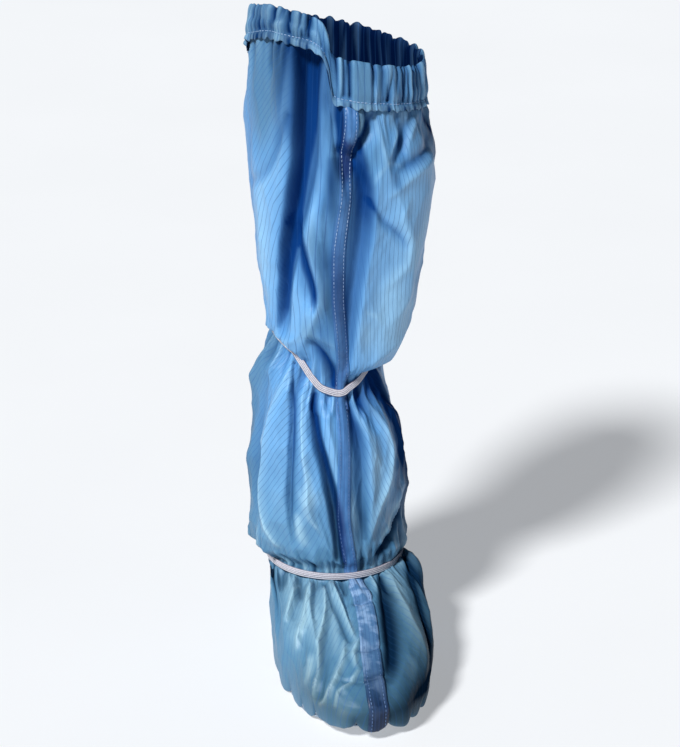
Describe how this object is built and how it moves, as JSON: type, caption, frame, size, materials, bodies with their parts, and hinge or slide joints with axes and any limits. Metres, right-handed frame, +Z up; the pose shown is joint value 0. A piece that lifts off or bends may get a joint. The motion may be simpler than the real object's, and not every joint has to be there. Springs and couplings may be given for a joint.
{
  "type": "anti-static boot cover",
  "caption": "Knee-high cleanroom boot cover for the right foot: striped blue anti-static cloth gathered by elastics at collar, calf and ankle, on a soft flat sole",
  "frame": {"origin": "on the floor under the axis of the leg, on the flat of the heel", "axes": "+Z up along the shaft, toe towards -Y, the inner side of the right foot at +X"},
  "size_m": [0.1585, 0.3, 0.5485],
  "materials": {
    "cloth": "satin blue polyester weave with thin dark conductive stripes",
    "seam": "flat sewn seam of the same cloth, a little darker",
    "elastic": "matt white ribbed elastic tape",
    "sole": "matt soft moulded sole",
    "insole": "matt pale felt"
  },
  "bodies": {
    "root": {"upper": "cloth", "collar_casing": "cloth", "front_seam": "seam", "back_seam": "seam", "calf_elastic": "elastic", "ankle_elastic": "elastic", "outsole": "sole", "insole": "insole"}
  },
  "joints": []
}
